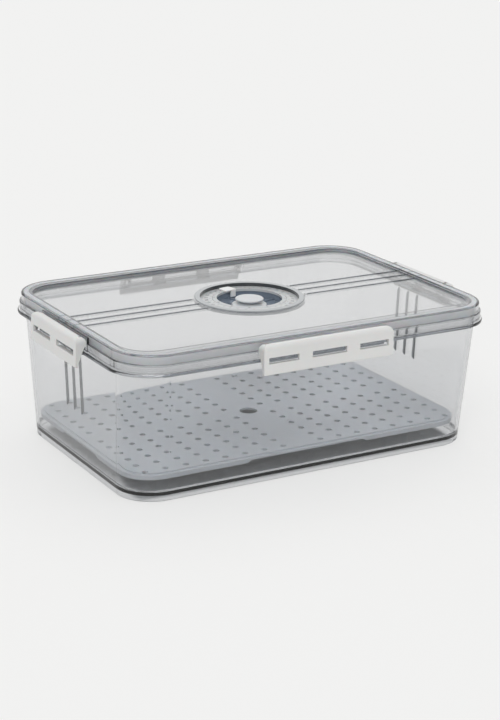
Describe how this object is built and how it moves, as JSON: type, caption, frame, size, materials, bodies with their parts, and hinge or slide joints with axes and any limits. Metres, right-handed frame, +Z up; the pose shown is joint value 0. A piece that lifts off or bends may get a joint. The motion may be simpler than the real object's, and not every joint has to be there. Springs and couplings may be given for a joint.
{
  "type": "food container with drain tray",
  "caption": "Clear rectangular food container with a raised perforated drain tray, a sealing lid held by side latches, and a turning freshness dial around a pull-up vent knob.",
  "frame": {"origin": "centre of the foot's base, where the container stands", "axes": "+X along the long side, +Z up through the dial, -Y out of the front latch"},
  "size_m": [0.3316, 0.2356, 0.114],
  "materials": {
    "clear_body": "clear, cool grey tint",
    "clear_lid": "clear, cool grey tint",
    "clear_bezel": "clear",
    "tinted_well": "tinted, glossy",
    "tray_grey": "satin",
    "latch_grey": "satin",
    "dial_white": "satin",
    "knob_grey": "satin",
    "silicone": "soft, matt"
  },
  "bodies": {
    "container": {"container_body": "clear_body"},
    "tray": {"drain_tray": "tray_grey"},
    "lid": {"lid": "clear_lid", "lid_seal": "silicone", "vent_cup": "tinted_well", "dial_bezel": "clear_bezel"},
    "latch_front": {"latch_front": "latch_grey"},
    "latch_back": {"latch_back": "latch_grey"},
    "latch_left": {"latch_left": "latch_grey"},
    "latch_right": {"latch_right": "latch_grey"},
    "date_ring": {"date_ring": "dial_white"},
    "pointer_ring": {"pointer_ring": "dial_white"},
    "vent_knob": {"vent_knob": "knob_grey", "vent_seal": "silicone"}
  },
  "joints": [
    {"name": "lid_lift", "type": "slide", "parent": "container", "child": "lid", "axis": [0, 0, 1], "range_m": [0, 0.13]},
    {"name": "tray_lift", "type": "slide", "parent": "container", "child": "tray", "axis": [0, 0, 1], "range_m": [0, 0.07]},
    {"name": "latch_front_hinge", "type": "hinge", "parent": "lid", "child": "latch_front", "pos_m": [0, -0.1132, 0.108], "axis": [-1, 0, 0], "range_deg": [0, 95]},
    {"name": "latch_back_hinge", "type": "hinge", "parent": "lid", "child": "latch_back", "pos_m": [0, 0.1132, 0.108], "axis": [1, 0, 0], "range_deg": [0, 95]},
    {"name": "latch_left_hinge", "type": "hinge", "parent": "lid", "child": "latch_left", "pos_m": [-0.1612, 0, 0.108], "axis": [0, 1, 0], "range_deg": [0, 95]},
    {"name": "latch_right_hinge", "type": "hinge", "parent": "lid", "child": "latch_right", "pos_m": [0.1612, 0, 0.108], "axis": [0, -1, 0], "range_deg": [0, 95]},
    {"name": "date_ring_turn", "type": "hinge", "parent": "lid", "child": "date_ring", "pos_m": [0, 0, 0.111], "axis": [0, 0, 1], "continuous": true},
    {"name": "pointer_turn", "type": "hinge", "parent": "lid", "child": "pointer_ring", "pos_m": [0, 0, 0.111], "axis": [0, 0, 1], "continuous": true},
    {"name": "vent_knob_pull", "type": "slide", "parent": "lid", "child": "vent_knob", "axis": [0, 0, 1], "range_m": [0, 0.004]}
  ]
}
